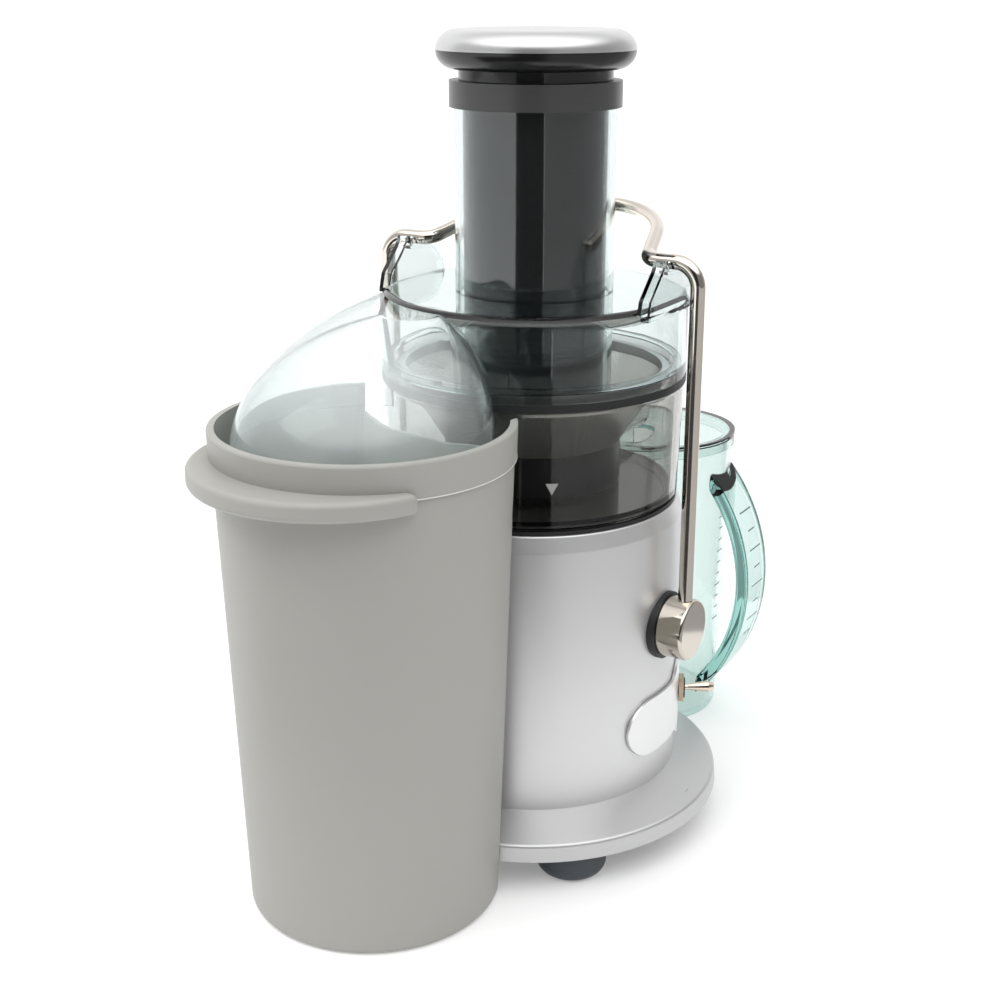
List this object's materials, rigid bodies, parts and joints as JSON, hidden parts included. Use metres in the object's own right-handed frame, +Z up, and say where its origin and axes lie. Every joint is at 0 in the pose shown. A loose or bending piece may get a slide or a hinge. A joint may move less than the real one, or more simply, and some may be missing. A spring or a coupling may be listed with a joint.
{
  "type": "centrifugal juicer",
  "caption": "Centrifugal juicer with clear cover and feed chute, dark pusher, silver motor base, bent-rod locking arm, grey pulp bin and clear juice jug.",
  "frame": {"origin": "on the worktop, straight under the spin axis", "axes": "+Z up along the spin axis; the front knob faces -Y; the juice spout points to +X"},
  "size_m": [0.4031, 0.2032, 0.411],
  "materials": {
    "silver_paint": "satin silver",
    "plate_metal": "satin",
    "black_rubber": "matt",
    "black_plastic": "matt",
    "bright_metal": "polished",
    "steel": "bare",
    "cast_alloy": "cast",
    "copper": "enamelled wire",
    "carbon": "matt",
    "board": "matt",
    "smoked_plastic": "smoked, see-through",
    "clear_plastic": "clear",
    "jug_clear": "clear, green tint",
    "pusher_dark": "gloss",
    "cap_silver": "satin silver",
    "bin_grey": "fine matt"
  },
  "bodies": {
    "base": {"base_housing": "silver_paint", "base_skirt": "silver_paint", "base_plate": "black_plastic", "rubber_feet": "black_rubber", "base_screws": "steel", "front_plate": "plate_metal", "switch_body": "black_plastic", "switch_nut": "bright_metal", "cord_inlet": "black_plastic", "lower_bracket": "cast_alloy", "upper_bracket": "cast_alloy", "lower_bearing": "steel", "upper_bearing": "steel", "stator_core": "steel", "field_windings": "copper", "motor_bolts": "steel", "rubber_mounts": "black_rubber", "brush_holders": "black_plastic", "carbon_brushes": "carbon", "shaft_seal": "black_rubber", "control_board": "board", "top_collar": "black_rubber", "filter_bowl": "smoked_plastic", "bowl_seal": "black_rubber", "juicer_cover": "clear_plastic", "pivot_bushes": "black_plastic", "pivot_washers": "black_rubber", "interlock_switch": "black_plastic"},
    "toggle": {"toggle_lever": "bright_metal"},
    "rotor": {"motor_shaft": "steel", "commutator": "copper", "armature_core": "steel", "armature_windings": "copper", "cooling_fan": "black_plastic", "drive_coupling": "black_plastic", "basket_base": "black_plastic", "filter_mesh": "steel", "basket_rim": "steel", "cutting_disc": "steel"},
    "pusher": {"pusher_tube": "pusher_dark", "pusher_collar": "pusher_dark", "pusher_cap_base": "pusher_dark", "pusher_cap": "cap_silver"},
    "arm": {"locking_arm": "bright_metal", "front_knob": "bright_metal", "rear_knob": "bright_metal", "pivot_pins": "steel", "pivot_clips": "steel", "interlock_cam": "black_plastic"},
    "bin": {"pulp_bin": "bin_grey"},
    "jug": {"juice_jug": "jug_clear", "jug_lid": "jug_clear", "froth_separator": "jug_clear"}
  },
  "joints": [
    {"name": "toggle_switch", "type": "hinge", "parent": "base", "child": "toggle", "pos_m": [0.03404, -0.073, 0.069], "axis": [-0.9063, -0.4226, 0], "range_deg": [-20, 0]},
    {"name": "spin", "type": "hinge", "parent": "base", "child": "rotor", "pos_m": [0, 0, 0.1], "axis": [0, 0, 1], "continuous": true},
    {"name": "pusher_lift", "type": "slide", "parent": "base", "child": "pusher", "axis": [0, 0, 1], "range_m": [0, 0.17]},
    {"name": "arm_swing", "type": "hinge", "parent": "base", "child": "arm", "pos_m": [0, 0, 0.1198], "axis": [0, 1, 0], "range_deg": [0, 92]},
    {"name": "bin_tilt", "type": "hinge", "parent": "base", "child": "bin", "pos_m": [-0.08079, 0.01403, 0.242], "axis": [0.1711, 0.9853, 0], "range_deg": [0, 15]},
    {"name": "jug_pull", "type": "slide", "parent": "base", "child": "jug", "axis": [1, 0, 0], "range_m": [0, 0.12]}
  ]
}
